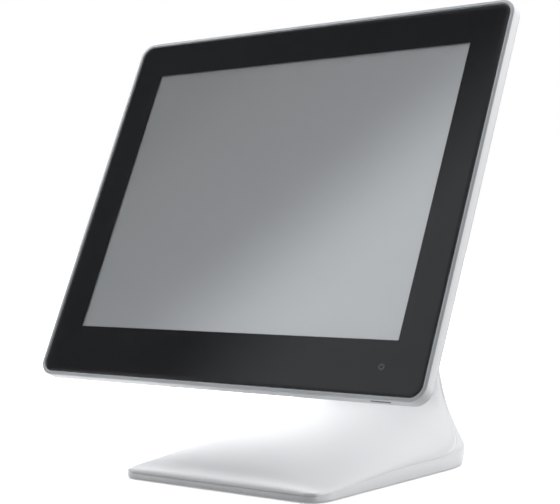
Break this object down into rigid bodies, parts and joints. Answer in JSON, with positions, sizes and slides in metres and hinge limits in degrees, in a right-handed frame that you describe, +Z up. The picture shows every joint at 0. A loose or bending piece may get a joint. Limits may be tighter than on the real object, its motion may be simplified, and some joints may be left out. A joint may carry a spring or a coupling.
{
  "type": "pos touchscreen terminal",
  "caption": "All-in-one checkout touchscreen: a thin tilting display head on a white wedge stand whose base sweeps up into a leaning neck",
  "frame": {"origin": "centre of the bounding box on the table top, under the terminal at rest", "axes": "+X to the right of a user facing the screen, +Y away from the user, +Z up"},
  "size_m": [0.366, 0.2244, 0.3501],
  "materials": {
    "cover_glass": "clear chemically strengthened cover glass, polished",
    "black_ink": "black printed border bonded behind the glass",
    "silver_rim": "satin silver painted rim",
    "white_housing": "fine-textured white ABS",
    "screen_grey": "switched-off liquid crystal cell, soft grey sheen",
    "backlight_film": "white diffuser stack in a folded case",
    "sheet_steel": "bright galvanised sheet",
    "black_steel": "black powder-coated steel",
    "circuit_board": "green solder-masked board",
    "black_component": "black moulded plastic",
    "heatsink_aluminium": "extruded fins, satin",
    "drive_case": "dark anodised case",
    "connector_shell": "stamped tin-plated shell",
    "spring_steel": "ground spring steel",
    "zinc_fastener": "bright zinc plate",
    "ballast_iron": "as-cast iron block",
    "foot_rubber": "soft black rubber"
  },
  "bodies": {
    "stand": {"stand_upper_cover": "white_housing", "stand_lower_housing": "white_housing", "base_plate": "black_steel", "base_ballast": "ballast_iron", "neck_frame": "sheet_steel", "hinge_spring_washer_left": "spring_steel", "hinge_spring_washer_right": "spring_steel", "hinge_nut_left": "zinc_fastener", "hinge_nut_right": "zinc_fastener", "cable_grommet": "foot_rubber", "rubber_foot_1": "foot_rubber", "rubber_foot_2": "foot_rubber", "rubber_foot_3": "foot_rubber", "rubber_foot_4": "foot_rubber", "base_screw_1": "zinc_fastener", "base_screw_2": "zinc_fastener", "base_screw_3": "zinc_fastener", "base_screw_4": "zinc_fastener"},
    "display_head": {"touch_glass": "cover_glass", "glass_border_mask": "black_ink", "bezel_rim": "silver_rim", "side_frame": "white_housing", "rear_housing": "white_housing", "lcd_cell": "screen_grey", "lcd_backlight": "backlight_film", "lcd_chassis": "sheet_steel", "mainboard": "circuit_board", "cpu_package": "black_component", "cpu_heatsink": "heatsink_aluminium", "memory_socket": "black_component", "memory_module": "circuit_board", "ssd_tray": "sheet_steel", "ssd_drive": "drive_case", "touch_controller_board": "circuit_board", "speaker_left": "black_component", "speaker_right": "black_component", "io_bracket": "sheet_steel", "dc_inlet": "black_component", "serial_port": "black_component", "usb_ports_a": "connector_shell", "usb_ports_b": "connector_shell", "lan_port": "connector_shell", "power_button_spring": "spring_steel", "power_switch": "black_component", "hinge_backing_plate": "sheet_steel", "hinge_mount_plate": "black_steel", "hinge_pin_left": "spring_steel", "hinge_pin_right": "spring_steel", "hinge_arm_cover_left": "white_housing", "hinge_arm_cover_right": "white_housing", "hinge_screw_1": "zinc_fastener", "housing_screw_1": "zinc_fastener", "hinge_screw_2": "zinc_fastener", "housing_screw_2": "zinc_fastener", "hinge_screw_3": "zinc_fastener", "housing_screw_3": "zinc_fastener", "hinge_screw_4": "zinc_fastener", "housing_screw_4": "zinc_fastener"},
    "power_button": {"power_button": "black_component"}
  },
  "joints": [
    {"name": "screen_tilt", "type": "hinge", "parent": "stand", "child": "display_head", "pos_m": [0, 0.01039, 0.17799], "axis": [-1, 0, 0], "range_deg": [-20, 40]},
    {"name": "power_button_press", "type": "slide", "parent": "display_head", "child": "power_button", "axis": [0, 0.4226, 0.9063], "range_m": [0, 0.0005], "stiffness_N_per_m": 800}
  ]
}
